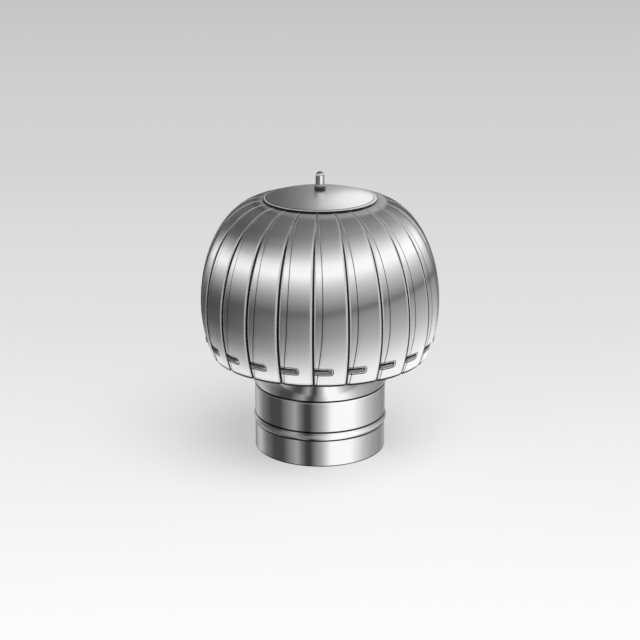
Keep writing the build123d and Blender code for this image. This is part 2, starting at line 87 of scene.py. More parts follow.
class Tree:
    def __init__(self, nodeTree):
        self.nodeTree = nodeTree
        nodeTree.nodes.clear()

    def add(self, kind, settings=None, *values, out=0, **named):
        node = self.nodeTree.nodes.new(kind)
        for key, value in (settings or {}).items():
            if key == "stops":     # a ramp's stops, as (place, grey or colour)
                self.setStops(node.color_ramp, value)
            else:
                setattr(node, key, value)
        for index, value in enumerate(values):
            self.feed(node.inputs[index], value)
        for name, value in named.items():
            self.feed(node.inputs[name.replace("_", " ")], value)
        return Wire(self, node.outputs[out]) if len(node.outputs) else node

    def setStops(self, ramp, stops):
        while len(ramp.elements) < len(stops):
            ramp.elements.new(0.5)
        for element, (place, tone) in zip(ramp.elements, stops):
            element.position = place
            element.color = (*tone, 1) if isinstance(tone, tuple) else (tone, tone, tone, 1)

    def feed(self, socket, value):
        if isinstance(value, Wire):
            self.nodeTree.links.new(value.socket, socket)
        elif value is not None:
            socket.default_value = value

    def mix(self, factor, first, second):     # two colours
        node = self.nodeTree.nodes.new("ShaderNodeMix")
        node.data_type = "RGBA"
        self.feed(node.inputs[0], factor)
        for socket, value in ((node.inputs[6], first), (node.inputs[7], second)):
            self.feed(socket, (*value, 1) if isinstance(value, tuple) else value)
        return Wire(self, node.outputs[2])


# cylindrical place on the object: radius, turn round the axis and height
def roundTheAxis(tree):
    place = tree.add("ShaderNodeTexCoord", out=3)
    split = tree.add("ShaderNodeSeparateXYZ", None, place)
    x, y, z = (Wire(tree, split.socket.node.outputs[index]) for index in range(3))
    square = x * x + y * y
    return place, square.math("SQRT", square), y.math("ARCTAN2", y, x), z


# 1 where a distance is within half a width of 0, fading out over soft
def band(tree, distance, half, soft):
    away = distance.math("ABSOLUTE", distance)
    return tree.add("ShaderNodeMapRange", None, away, From_Min=half + soft, From_Max=half)


steelLook = {
    "colour": (0.87, 0.87, 0.885),
    "dull": (0.8, 0.8, 0.815),
    "clear": (0.92, 0.92, 0.93),      # what the brightest vane leans to
    "clearShare": 0.5,
    "paintedHighlight": (0.97, 0.97, 0.975),      # painted highlight beside a fold or an edge, and rougher there
    "highlightRoughness": 0.4,
    "paintedShade": (0.035, 0.035, 0.04),     # painted shade in lines along folds, laps, cut edges and joints
    "crownHeight": (261.0, 279.0),    # mm, where a vane's painted lines turn from painted shade to painted highlight
    "grainLength": 26.0,       # how far a grain line runs, as a share of its spacing
    "grainStep": 1500.0,       # grain lines to a metre
    "grainDepth": 0.012 * mm,
    "grainBump": 0.35,
    "grainShare": 0.25,        # of the mix with the dull colour
    "turnLength": 0.1,         # metres of grain to a radian
    "smudgeScale": 22.0,
    "smudgeShare": 0.5,
}


# painted lines are (what is measured: height, radius or an attribute, where in mm, half width, fade, is it
# dark painted shade rather than a painted highlight,
# and where it runs: all, or on the vanes' low or crown part)
def steel(name, roughness, spread=0.05, along="turn", tint=None, vaneTone=False, paintedLines=()):
    material = bpy.data.materials.new(name)
    material.use_nodes = True
    tree = Tree(material.node_tree)
    place, radius, turn, z = roundTheAxis(tree)
    lines = steelLook["grainStep"]
    stretch = lines / steelLook["grainLength"]
    around = turn * steelLook["turnLength"]
    if along == "turn":        # grain runs round the axis
        cells = tree.add("ShaderNodeCombineXYZ", None, around * stretch, radius * lines, z * lines)
    else:                      # grain runs up the sheet
        cells = tree.add("ShaderNodeCombineXYZ", None, around * lines, radius * stretch, z * stretch)
    grain = tree.add("ShaderNodeTexNoise", None, Vector=cells, Scale=1.0, Detail=2.0, Roughness=0.6)
    smudge = tree.add("ShaderNodeTexNoise", None, Vector=place, Scale=steelLook["smudgeScale"], Detail=4.0)
    dulled = smudge * steelLook["smudgeShare"] + grain * steelLook["grainShare"]
    colour = tree.mix(dulled, tint or steelLook["colour"], steelLook["dull"])
    if vaneTone:
        tone = tree.add("ShaderNodeAttribute", {"attribute_name": "vaneTone"}, out=2)
        colour = tree.mix(tone * steelLook["clearShare"], colour, steelLook["clear"])
    # roughness added along the painted highlight lines
    paintedHighlight = 0.0
    start, end = steelLook["crownHeight"]
    for measure, level, half, soft, dark, where in paintedLines:
        if measure in ("height", "radius"):
            distance = (z if measure == "height" else radius) * 1000
        else:
            distance = tree.add("ShaderNodeAttribute", {"attribute_name": measure}, out=2)
        line = band(tree, distance - level, half, soft)
        # lines marked low fade out over the crown height and lines marked crown fade in there
        if where != "all":
            crown = tree.add("ShaderNodeMapRange", None, z * 1000, From_Min=start, From_Max=end)
            line = line * (crown if where == "crown" else 1 - crown)
        # each line paints shade into the colour where dark is set, and a highlight where it isn't
        colour = tree.mix(line, colour, steelLook["paintedShade"] if dark else steelLook["paintedHighlight"])
        paintedHighlight = paintedHighlight if dark else line * steelLook["highlightRoughness"] + paintedHighlight
    depth = steelLook["grainDepth"]
    bump = tree.add("ShaderNodeBump", None, Strength=steelLook["grainBump"], Distance=depth, Height=grain)
    rough = roughness + spread * (smudge - 0.5) * 2.0 + (grain - 0.5) * spread + paintedHighlight
    shader = tree.add(
        "ShaderNodeBsdfPrincipled",
        None,
        Base_Color=colour,
        Metallic=1.0,
        Roughness=rough,
        Normal=bump,
    )
    tree.add("ShaderNodeOutputMaterial", None, shader)
    return material


plainLook = {
    "scale": 900.0,            # of the fine mottling
    "broader": 20,             # times as broad is the other one
    "fineShare": 0.4,
    "broadShare": 0.6,
    "darkest": 0.72,           # shares of the colour
    "lightest": 1.2,
    "roughnessSpread": 0.06,
    "bump": 0.3,
    "bumpDepth": 0.03 * mm,
}


def plain(name, colour, roughness, metallic=0.0):
    material = bpy.data.materials.new(name)
    material.use_nodes = True
    tree = Tree(material.node_tree)
    place = tree.add("ShaderNodeTexCoord", out=3)
    scale = plainLook["scale"]
    fine = tree.add("ShaderNodeTexNoise", None, Vector=place, Scale=scale, Detail=3.0)
    broadScale = scale / plainLook["broader"]
    broad = tree.add("ShaderNodeTexNoise", None, Vector=place, Scale=broadScale, Detail=2.0)
    mottling = broad * plainLook["broadShare"] + fine * plainLook["fineShare"]
    darker = tuple(c * plainLook["darkest"] for c in colour)
    lighter = tuple(min(1.0, c * plainLook["lightest"]) for c in colour)
    depth = plainLook["bumpDepth"]
    bump = tree.add("ShaderNodeBump", None, Strength=plainLook["bump"], Distance=depth, Height=fine)
    shader = tree.add(
        "ShaderNodeBsdfPrincipled",
        None,
        Base_Color=tree.mix(mottling, darker, lighter),
        Metallic=metallic,
        Roughness=roughness + (broad - 0.5) * plainLook["roughnessSpread"] * 2.0,
        Normal=bump,
    )
    tree.add("ShaderNodeOutputMaterial", None, shader)
    return material


# painted lines on the vanes: painted highlight beside the free edge, lapped margin, crease, slot and foot,
# and painted shade along the free edge, the lapped margin, the crease, the foot and the slot
vanePaintedLines = [
    ("fromEdge", 2.8, 0.85, 0.6, False, "low"),
    ("fromEdge", 1.0, 1.3, 0.5, False, "crown"),
    ("fromCrease", 0.0, 0.6, 0.5, False, "crown"),
    ("fromCover", 1.6, 0.35, 0.5, False, "low"),
    ("fromSlot", 0.9, 0.3, 0.3, False, "all"),
    ("fromFoot", 3.9, 0.35, 0.45, False, "all"),
    ("fromEdge", 0.4, 1.25, 0.3, True, "low"),
    ("fromCover", 0.0, 0.55, 0.35, True, "low"),
    ("fromCrease", 0.0, 0.25, 0.4, True, "low"),
    ("fromFoot", 0.0, 2.6, 0.35, True, "all"),
    ("fromSlot", 1.75, 0.3, 0.3, True, "all"),
    ("fromSlot", 0.0, 0.25, 0.3, True, "all"),
]
# painted lines on the neck: painted highlight on the bead and below the neckline, painted shade at the
# neckline, along the bead's two edges and at the foot
neckPaintedLines = [
    ("height", 75.4, 0.4, 0.4, False, "all"),
    ("height", 35.9, 1.2, 1.4, False, "all"),
    ("height", 77.6, 0.85, 0.3, True, "all"),
    ("height", 31.1, 0.85, 0.3, True, "all"),
    ("height", 40.9, 0.85, 0.3, True, "all"),
    ("height", 0.0, 0.9, 0.35, True, "all"),
]
# painted lines on the dome: a painted highlight ring inside the rolled rim, painted shade on the rim's
# edge and in a thin ring within
domePaintedLines = [
    ("radius", 61.8, 0.7, 0.6, False, "all"),
    ("radius", 64.0, 0.7, 0.3, True, "all"),
    ("radius", 60.2, 0.25, 0.4, True, "all"),
]
vaneSteel = steel("vaneSteel", 0.13, along="up", vaneTone=True, paintedLines=vanePaintedLines)
domeSteel = steel("domeSteel", 0.3, paintedLines=domePaintedLines)
neckSteel = steel("neckSteel", 0.11, paintedLines=neckPaintedLines)
plateSteel = steel("plateSteel", 0.3, tint=(0.6, 0.6, 0.61))
# painted shade: the lower ring's steel is made much darker than the other fittings, so it looks dark
# through the slots
shadedRingSteel = steel("shadedRingSteel", 0.32, tint=(0.30, 0.30, 0.31))
pinSteel = steel("pinSteel", 0.2, spread=0.03, tint=(0.62, 0.62, 0.64))
raceSteel = plain("raceSteel", (0.62, 0.63, 0.65), 0.16, metallic=1.0)
screwSteel = plain("screwSteel", (0.58, 0.58, 0.6), 0.3, metallic=1.0)
springSteel = plain("springSteel", (0.1, 0.1, 0.11), 0.42, metallic=0.7)
cageBrass = plain("cageBrass", (0.72, 0.52, 0.22), 0.34, metallic=1.0)
sealRubber = plain("sealRubber", (0.022, 0.022, 0.023), 0.6)
collarPlastic = plain("collarPlastic", (0.045, 0.045, 0.048), 0.42)
slotMaterials = {
    "neck_sheet": neckSteel,
    "vane_sheet": vaneSteel,
    "dome_sheet": domeSteel,
    "fitting_steel": plateSteel,
    "spindle_steel": pinSteel,
    "bearing_steel": raceSteel,
    "cage_brass": cageBrass,
    "fastener_steel": screwSteel,
    "spring_steel": springSteel,
    "seal_rubber": sealRubber,
    "collar_plastic": collarPlastic,
}
slotOf = {part["node"]: part["material_slot"] for part in frame["record"]["subparts"]}
bodies = frame["record"]["behaviour"]["bodies"]
bodyOf = {name: body for body, members in bodies.items() for name in members}
for name, piece in nodes.items():
    # the lower ring gets the steel darkened with painted shade
    material = shadedRingSteel if name == "lower_ring" else slotMaterials[slotOf[name]]
    for holder in piece.material_slots:
        holder.material = material
    if not piece.material_slots:
        piece.data.materials.append(material)
print("materials made")


# a finished piece: plain mesh, smooth but for sharp edges, on the body of the nodes it stands for
def settle(piece, mesh, stoodFor, material, sharp):
    piece.modifiers.clear()
    piece.data = mesh
    for face in mesh.polygons:
        face.use_smooth = True
    mesh.set_sharp_from_angle(angle=radians(sharp))
    mesh.materials.clear()
    mesh.materials.append(material)
    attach(piece, bodyOf[stoodFor[0]])
    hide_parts(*stoodFor)


def evaluated(piece):
    bpy.context.view_layer.update()
    graph = bpy.context.evaluated_depsgraph_get()
    return bpy.data.meshes.new_from_object(piece.evaluated_get(graph), depsgraph=graph)


def newPiece(name, mesh):
    piece = bpy.data.objects.new(name, mesh)
    scene.collection.objects.link(piece)
    return piece


def roundEdges(piece, width, angle=50):      # those that turn by more than an angle in degrees
    rounding = piece.modifiers.new("rounding", "BEVEL")
    rounding.width = width
    rounding.segments = 2
    rounding.limit_method = "ANGLE"
    rounding.angle_limit = radians(angle)


def arc(centre, radius, start, end, steps):     # points (radius, height) of an arc, in degrees
    turns = [radians(start + (end - start) * step / steps) for step in range(steps + 1)]
    return [(centre[0] + radius * cos(turn), centre[1] + radius * sin(turn)) for turn in turns]


# a turned piece: a closed outline of (radius, height) swept round the axis, its edges rounded by a bevel
def lathe(name, outline, stoodFor, material, bevel, sharp, around=192):
    shape = bmesh.new()
    rings = []
    for radius, height in outline:
        turns = [2 * pi * step / around for step in range(around)]
        rings.append([shape.verts.new((radius * cos(turn), radius * sin(turn), height)) for turn in turns])
    for here, there in zip(rings, rings[1:] + rings[:1]):
        for step in range(around):
            after = (step + 1) % around
            shape.faces.new((here[step], here[after], there[after], there[step]))
    bmesh.ops.recalc_face_normals(shape, faces=shape.faces)
    mesh = bpy.data.meshes.new(name)
    shape.to_mesh(mesh)
    shape.free()
    piece = newPiece(name, mesh)
    roundEdges(piece, bevel)
    settle(piece, evaluated(piece), stoodFor, material, sharp)
    return piece


# neck: beaded spigot and flared throat
neck = {
    "radius": 75.0 * mm,
    "sheet": 0.6 * mm,
    "height": 77.6 * mm,
    "beadBase": 31.5 * mm,
    "beadHeight": 8.9 * mm,
    "beadProud": 1.5 * mm,
    "lap": 7.0 * mm,
    "weldGap": 0.05 * mm,
    "wireRadius": 1.2 * mm,
    "beadEase": 0.5 * mm,      # from the bead's arc to the straight wall
    "bend": 1.0 * mm,          # on both sides of the flare's fold
    "curl": 300,               # degrees of wire that the rim goes round
    "curlLead": 60,            # degrees from the flare's run to the curl's start
    "rimLead": 1.6 * mm,       # from the flare's straight run to the curl
    "edge": 0.12 * mm,
    "thinEdge": 0.1 * mm,
    "beadSteps": 16,
    "curlSteps": 20,
}


def makeNeck():
    outer = neck["radius"]
    inner = outer - neck["sheet"]
    low = neck["beadBase"]
    middle = low + neck["beadHeight"] / 2
    high = low + neck["beadHeight"]
    swellRadius = ((neck["beadHeight"] / 2) ** 2 + neck["beadProud"] ** 2) / (2 * neck["beadProud"])
    reach = degrees(asin(neck["beadHeight"] / 2 / swellRadius))
    easing = neck["beadEase"]
    centre = outer + neck["beadProud"] - swellRadius
    outline = [(outer, 0), (outer, low - easing)]
    outline += arc((centre, middle), swellRadius, -reach, reach, neck["beadSteps"])[1:-1]
    outline += [(outer, high + easing), (outer, neck["height"])]
    outline += [(inner, neck["height"]), (inner, high + easing)]
    centre -= neck["sheet"]
    outline += arc((centre, middle), swellRadius, reach, -reach, neck["beadSteps"])[1:-1]
    outline += [(inner, low - easing), (inner, 0)]
    lathe("spigotSheet", outline, ["spigot"], neckSteel, bevel=neck["edge"], sharp=60)

    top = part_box("throat")[1]
    wall = inner - neck["weldGap"]
    sheet = neck["sheet"]
    wireCentre = (top.x - neck["wireRadius"], top.z - neck["wireRadius"])
    rim = (wireCentre[0] + sheet / 2, wireCentre[1])
    run = Vector((rim[0] - wall, rim[1] - neck["height"])).normalized()
    start = degrees(asin(run.x)) - neck["curlLead"]
    curl = arc(wireCentre, neck["wireRadius"], start, start + neck["curl"], neck["curlSteps"])
    bend = neck["bend"]
    lead = neck["rimLead"]
    outline = [
        (wall, neck["height"] - neck["lap"]),
        (wall, neck["height"] - bend),
        (wall + run.x * bend, neck["height"] + run.y * bend),
        (rim[0] - run.x * lead, rim[1] - run.y * lead),
    ]
    outline += curl
    outline += [
        (rim[0] - sheet - run.x * lead, rim[1] - run.y * lead),
        (wall - sheet + run.x * bend, neck["height"] + run.y * bend),
        (wall - sheet, neck["height"] - bend),
        (wall - sheet, neck["height"] - neck["lap"]),
    ]
    lathe("throatSheet", outline, ["throat"], neckSteel, bevel=neck["thinEdge"], sharp=60)


makeNeck()
print("neck made")


# dome and its collar, whose sleeve is steel
cap = {
    "radius": 63.9 * mm,
    "rise": 10.2 * mm,
    "rim": 1.4 * mm,
    "sheet": 0.8 * mm,
    "hole": 5.05 * mm,
    "rolled": 0.45 * mm,
    "rollStart": 70,           # degrees up on the rolled edge, where the crown meets it
    "collarBore": 4.95 * mm,
    "collarSleeve": 0.5 * mm,
    "collarFlange": 2.8 * mm,
    "collarFillet": 0.9 * mm,
    "edge": 0.1 * mm,
    "collarEdge": 0.12 * mm,
    "crownSteps": 40,
    "rollSteps": 5,
    "filletSteps": 8,
}


def makeDome():
    low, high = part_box("dome")
    base = low.z
    shoulder = base + cap["rim"]
    sphere = (cap["radius"] ** 2 + cap["rise"] ** 2) / (2 * cap["rise"])
    centre = (0, shoulder + cap["rise"] - sphere)
    holeTurn = degrees(asin(cap["hole"] / sphere))
    rimTurn = degrees(asin((cap["radius"] - cap["rolled"]) / sphere))
    outline = arc(centre, sphere, 90 - holeTurn, 90 - rimTurn, cap["crownSteps"])
    roll = (cap["radius"] - cap["rolled"], shoulder - cap["rolled"])
    outline += arc(roll, cap["rolled"], cap["rollStart"], 0, cap["rollSteps"])
    outline += [(cap["radius"], base), (cap["radius"] - cap["sheet"], base)]
    inner = sphere - cap["sheet"]
    innerRim = degrees(asin((cap["radius"] - cap["sheet"] - cap["edge"]) / inner))
    outline += arc(centre, inner, 90 - innerRim, 90 - holeTurn, cap["crownSteps"])
    lathe("domeCap", outline, ["dome"], domeSteel, bevel=cap["edge"], sharp=50, around=256)

    low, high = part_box("dome_collar")
    radius = (high.x - low.x) / 2
    bore = cap["collarBore"]
    sleeve = bore + cap["collarSleeve"]
    top = low.z + cap["collarFlange"]
    fillet = cap["collarFillet"]
    outline = [(bore, low.z), (radius, low.z)]
    outline += arc((radius - fillet, top - fillet), fillet, 0, 90, cap["filletSteps"])
    outline += [(sleeve, top), (sleeve, high.z), (bore, high.z)]
    edge = cap["collarEdge"]
    collar = lathe("collarCap", outline, ["dome_collar"], collarPlastic, bevel=edge, sharp=50, around=96)
    collar.data.materials.append(pinSteel)
    for face in collar.data.polygons:        # the sleeve above the flange is steel
        face.material_index = int(face.center.z > top + edge / 2)


makeDome()
print("dome made")


# vanes: one bent blade from its section rule, then a ring of them by Geometry Nodes
vane = {
    "count": 22,
    "firstTurn": -101.08,      # degrees to the middle of the first vane
    "sheet": 0.6,              # lengths here are in mm
    "creaseEnds": 1.2,         # degrees, as the next five are
    "creaseMiddle": 4.2,
    "tuckEnds": 2.0,
    "tuckMiddle": 5.5,
    "slotFrom": -1.0,          # from the covering edge
    "slotTo": 8.5,
    "lapGap": 0.35,            # between a lapped margin and the sheet over it, at the free edge
    "bellyRadius": 135.0,
    "bellyHeight": 172.3,
    "crownRadius": 62.4,
    "crownRise": 118.2,
    "skirtRadius": 150.4,
    "skirtDrop": 58.4,
    "skirtShare": 0.36,
    "slitEnds": 0.9,
    "slitMiddle": 2.4,
    "tuckSlope": 0.9,
    "slotDrop": 18.8,
    "slotHeight": 5.2,
    "slotCorner": 1.5,
    "rimWidth": 1.75,          # pressed-in rim round the slot
    "rimDepth": 0.5,
    "grooveWidth": 3.2,        # pressed groove along the free edge
    "grooveShare": 0.09,       # its depth, as a share of the tucked edge's
    "cornerRadius": 4.0,
    "tabLength": 10.0,
    "rivetRadius": 1.65,
    "rivetInset": 5.5,
    "edgeRadius": 0.16,
    "swellPower": 1.3,         # how fast a vane's folds and slit grow from its ends
    "toneSeed": 7,
    # the lap from crease to covering edge: shares of its depth, and of its width where each part runs
    "fold": (0.22, -0.1, 0.14),
    "strip": 0.16,
    "step": (0.62, 0.6, 1.0),
    # the mesh: points across, as shares of the groove and of the lap, then counts
    "grooveMarks": (0.16, 0.33, 0.5, 0.67, 0.84, 1.0),
    "lapMarks": (0.07, 0.14, 0.35, 0.6, 0.7, 0.8, 0.9, 1.0),
    "bodyColumns": 6,
    "marginColumns": 3,
    "rows": 50,
    "tabRows": 5,
    "endRow": 0.0025,          # a row close to each end, as a share of the vane
    "edgeStep": 0.5,
    "rimRings": (0.22, 0.45, 0.72, 1.0, 1.25),   # loops round the slot, as shares of the rim's width
    "rimFlat": 0.45,           # share of the rim's width that is fully pressed in
    "rimClear": 0.9,           # from the rim out to the next point of the plain rows
    "pointSpace": 0.45,        # closest that a row's point comes to an outline
    "slotSide": 8,             # points on a slot's long side, in its corners, round a rivet hole
    "slotCorners": 6,
    "rivetPoints": 16,
    "cornerPoints": 10,
    "farFromSlot": 30.0,
    "mergeSpace": 1e-5,        # in the flat layout
}
footAngle = asin(vane["skirtDrop"] / vane["skirtRadius"])
halfPitch = pi / vane["count"]
flatScale = 120.0              # mm to a radian, and to the whole height, in the flat layout
riseScale = 200.0


# reach, height and outward normal at a fraction of the way up; past 1 is the tab
def vaneLine(fraction):
    if fraction > 1:
        reach = vane["crownRadius"] - (fraction - 1) * riseScale
        return reach, vane["bellyHeight"] + vane["crownRise"], 0.0, 1.0
    if fraction < vane["skirtShare"]:
        turn = footAngle * (1 - fraction / vane["skirtShare"])
        reach = vane["bellyRadius"] - vane["skirtRadius"] * (1 - cos(turn))
        return reach, vane["bellyHeight"] - vane["skirtRadius"] * sin(turn), cos(turn), -sin(turn)
    turn = pi / 2 * (fraction - vane["skirtShare"]) / (1 - vane["skirtShare"])
    width = vane["bellyRadius"] - vane["crownRadius"]
    reach = vane["crownRadius"] + width * cos(turn)
    slope = Vector((vane["crownRise"] * cos(turn), width * sin(turn))).normalized()
    return reach, vane["bellyHeight"] + vane["crownRise"] * sin(turn), slope.x, slope.y


def shareAt(height):
    turn = asin((vane["bellyHeight"] - height) / vane["skirtRadius"])
    return vane["skirtShare"] * (1 - turn / footAngle)


def swell(fraction):           # 0 at both ends of the vane, 1 in its middle
    return max(0.0, sin(pi * min(1.0, max(0.0, fraction)))) ** vane["swellPower"]


def crossMarks(fraction):      # angles of the crease and the tucked edge, and the depths of lap and tuck
    bulge = swell(fraction)
    crease = radians(vane["creaseEnds"] + (vane["creaseMiddle"] - vane["creaseEnds"]) * bulge)
    tuck = radians(vane["tuckEnds"] + (vane["tuckMiddle"] - vane["tuckEnds"]) * bulge)
    slit = vane["slitEnds"] + (vane["slitMiddle"] - vane["slitEnds"]) * bulge
    lap = min(slit, vane["sheet"] + vane["lapGap"])
    return crease - halfPitch, -halfPitch - tuck, lap, slit * (1 + vane["tuckSlope"] * bulge)


def ease(value, low, high):    # a smooth step from 0 at low to 1 at high
    share = min(1.0, max(0.0, (value - low) / (high - low)))
    return share * share * (3 - 2 * share)


def lapDepth(angle, fraction):
    crease, tuck, lap, deep = crossMarks(fraction)
    if angle >= crease:
        return 0.0
    if angle >= -halfPitch:    # a crisp fold, a shallow strip and a step down to the lapped margin
        share = (crease - angle) / (crease + halfPitch)
        fold, foldFrom, foldTo = vane["fold"]
        step, stepFrom, stepTo = vane["step"]
        fall = fold * ease(share, foldFrom, foldTo) + vane["strip"] * share
        return lap * (fall + step * ease(share, stepFrom, stepTo))
    return lap + (deep - lap) * (-halfPitch - angle) / (-halfPitch - tuck)


def slotLevel():
    return vane["bellyHeight"] - vane["skirtDrop"] + vane["slotDrop"]


def fromSlot(angle, fraction):     # mm from the slot's outline, less than 0 inside it
    reach, height = vaneLine(fraction)[:2]
    corner = vane["slotCorner"]
    across = abs(angle + halfPitch - radians((vane["slotFrom"] + vane["slotTo"]) / 2)) * reach
    across -= reach * radians(vane["slotTo"] - vane["slotFrom"]) / 2 - corner
    up = abs(height - slotLevel()) - vane["slotHeight"] / 2 + corner
    return hypot(max(0.0, across), max(0.0, up)) + min(0.0, max(across, up)) - corner


def depthAt(angle, fraction):
    deep = crossMarks(fraction)[3]
    edge = (halfPitch - angle) * vaneLine(fraction)[0] / vane["grooveWidth"]
    groove = 0.0
    if 0 < edge < 1 and fraction <= 1:
        groove = deep * vane["grooveShare"] * (1 - cos(2 * pi * edge)) / 2
    width = vane["rimWidth"]
    rim = vane["rimDepth"] * (1 - ease(fromSlot(angle, fraction), vane["rimFlat"] * width, width))
    return lapDepth(angle, fraction) + groove + rim


# a point of the outer side, in metres, for a vane that points to +X
def onVane(angle, fraction):
    reach, height, across, up = vaneLine(fraction)
    out = reach * (cos(angle) - 1) * across - depthAt(angle, fraction)
    return Vector(((reach + out * across), reach * sin(angle), height + out * up)) * mm


def flatPoint(angle, fraction):
    return Vector((angle * flatScale, fraction * riseScale))


def rowColumns(fraction):      # angles of one row's points, from the free edge to the tucked one
    crease, tuck = crossMarks(fraction)[:2]
    reach = vaneLine(fraction)[0]
    near = vane["edgeStep"] / reach
    groove = [halfPitch - vane["grooveWidth"] * share / reach for share in vane["grooveMarks"]]
    plainSteps = vane["bodyColumns"]
    body = [groove[-1] - (groove[-1] - crease) * count / plainSteps for count in range(1, plainSteps + 1)]
    lap = [crease - (crease + halfPitch) * share for share in vane["lapMarks"]]
    marginSteps = vane["marginColumns"]
    margin = [-halfPitch + (halfPitch + tuck) * count / marginSteps for count in range(1, marginSteps)]
    return [halfPitch] + groove + body + lap + margin + [tuck + near, tuck]


creaseColumn = len(vane["grooveMarks"]) + vane["bodyColumns"]      # where the crease stands in that list


def slotLoop(grow):            # the slot's outline, grown by a margin, as (angle, fraction)
    level = slotLevel()
    reach = vaneLine(shareAt(level))[0]
    middle = radians((vane["slotFrom"] + vane["slotTo"]) / 2) - halfPitch
    corner = vane["slotCorner"]
    across = reach * radians(vane["slotTo"] - vane["slotFrom"]) / 2 - corner
    up = vane["slotHeight"] / 2 - corner
    points = vane["slotCorners"]
    steps = vane["slotSide"]
    loop = []
    for number, (sideX, sideY) in enumerate(((1, -1), (1, 1), (-1, 1), (-1, -1))):
        for count in range(points + 1):
            turn = pi / 2 * (number - 1 + count / points)
            x = sideX * across + (corner + grow) * cos(turn)
            y = sideY * up + (corner + grow) * sin(turn)
            loop.append((middle + x / reach, shareAt(level + y)))
        if sideX == sideY:     # a few points more along the straight sides
            ahead = (-across, up) if sideX > 0 else (across, -up)
            for count in range(1, steps):
                x = sideX * across + (ahead[0] - sideX * across) * count / steps
                loop.append((middle + x / reach, shareAt(level + ahead[1] + sideY * (corner + grow))))
    return loop


def inside(point, loop):
    hit = False
    for one, two in zip(loop, loop[1:] + loop[:1]):
        if (one.y > point.y) != (two.y > point.y):
            if point.x < (two.x - one.x) * (point.y - one.y) / (two.y - one.y) + one.x:
                hit = not hit
    return hit


def rivetLoop():
    inset = vane["rivetInset"]
    reach = vane["crownRadius"] - inset
    turns = [2 * pi * step / vane["rivetPoints"] for step in range(vane["rivetPoints"])]
    radius = vane["rivetRadius"]
    return [(radius * cos(turn) / reach, 1 + (inset + radius * sin(turn)) / riseScale) for turn in turns]


def bladeBorder(rows):         # along the foot, up the tucked edge, round the tab, down the free edge
    top = rowColumns(1.0)
    tab = vane["tabLength"] / riseScale
    climb = [1 + tab * step / vane["tabRows"] for step in range(1, vane["tabRows"] + 1)]
    border = [(angle, 0.0) for angle in rowColumns(0.0)]
    border += [(rowColumns(fraction)[-1], fraction) for fraction in rows[1:]]
    border += [(angle, 1.0) for angle in top[-2:creaseColumn - 1:-1]]
    border += [(top[creaseColumn], fraction) for fraction in climb]
    border += [(angle, 1 + tab) for angle in top[creaseColumn - 1:0:-1]]
    border += [(top[1], fraction) for fraction in climb[-2::-1]] + [(top[1], 1.0), (halfPitch, 1.0)]
    border += [(halfPitch, fraction) for fraction in rows[-2:0:-1]]
    reach = vaneLine(0.0)[0]
    corner = vane["cornerRadius"] / reach
    lift = shareAt(vane["bellyHeight"] - vane["skirtDrop"] + vane["cornerRadius"])
    kept = [spot for spot in border if not (spot[0] > halfPitch - corner and spot[1] < lift)]
    turns = [pi / 2 * step / vane["cornerPoints"] for step in range(vane["cornerPoints"] + 1)]
    return kept + [(halfPitch - corner * (1 - cos(turn)), lift * (1 - sin(turn))) for turn in turns]


def makeBlade():
    rows = [step / vane["rows"] for step in range(vane["rows"] + 1)]
    rows = sorted(rows + [vane["endRow"], 1 - vane["endRow"]])
    border = bladeBorder(rows)
    holes = [slotLoop(0.0), rivetLoop()]
    spots = list(border)
    edges = [(index, (index + 1) % len(border)) for index in range(len(border))]
    for loop in holes:
        first = len(spots)
        edges += [(first + index, first + (index + 1) % len(loop)) for index in range(len(loop))]
        spots += loop
    outer = [flatPoint(*spot) for spot in border]
    clear = [flatPoint(*spot) for spot in slotLoop(vane["rimWidth"] + vane["rimClear"])]
    rims = outer + [flatPoint(*spot) for loop in holes for spot in loop]
    for share in vane["rimRings"]:
        spots += slotLoop(vane["rimWidth"] * share)
    tab = vane["tabLength"] / riseScale
    tabRows = [1 + tab * step / vane["tabRows"] for step in range(vane["tabRows"])]
    for fraction in rows[1:-1] + tabRows:
        angles = rowColumns(fraction)[1:-1] if fraction < 1 else rowColumns(1.0)[2:creaseColumn]
        for angle in angles:
            flat = flatPoint(angle, fraction)
            if inside(flat, outer) and not inside(flat, clear):
                if min((flat - rim).length for rim in rims) > vane["pointSpace"]:
                    spots.append((angle, fraction))
    flats = [flatPoint(*spot) for spot in spots]
    # kind 1 leaves no triangles beyond the border
    places, _, faces, origins, _, _ = delaunay_2d_cdt(flats, edges, [], 1, vane["mergeSpace"])
    voids = [[flatPoint(*spot) for spot in loop] for loop in holes]
    blade = bmesh.new()
    for name in ("fromEdge", "fromCover", "fromCrease", "fromSlot", "fromFoot"):
        blade.verts.layers.float.new(name)
    edge, cover, crease, slot, foot = blade.verts.layers.float.values()
    points = []
    for place, origin in zip(places, origins):
        angle, fraction = spots[origin[0]] if origin else (place.x / flatScale, place.y / riseScale)
        point = blade.verts.new(onVane(angle, fraction))
        point[edge] = (halfPitch - angle) * vane["bellyRadius"]     # so lines taper as the vane does
        point[cover] = (halfPitch + angle) * vane["bellyRadius"]
        point[crease] = (angle - crossMarks(min(1.0, fraction))[0]) * vane["bellyRadius"]
        point[slot] = min(vane["farFromSlot"], fromSlot(angle, fraction))
        point[foot] = fraction * vane["skirtRadius"] * footAngle / vane["skirtShare"]
        points.append(point)
    for face in faces:
        middle = sum((places[index] for index in face), Vector((0, 0))) / len(face)
        if inside(middle, outer) and not any(inside(middle, void) for void in voids):
            blade.faces.new([points[index] for index in face])
    loose = [point for point in blade.verts if not point.link_faces]
    bmesh.ops.delete(blade, geom=loose, context="VERTS")
    mesh = bpy.data.meshes.new("blade")
    blade.to_mesh(mesh)
    blade.free()
    piece = newPiece("blade", mesh)
    wall = piece.modifiers.new("wall", "SOLIDIFY")
    wall.thickness = vane["sheet"] * mm
    wall.offset = -1
    wall.use_even_offset = True
    roundEdges(piece, vane["edgeRadius"] * mm, angle=60)
    mesh = evaluated(piece)
    bpy.data.objects.remove(piece)
    return mesh


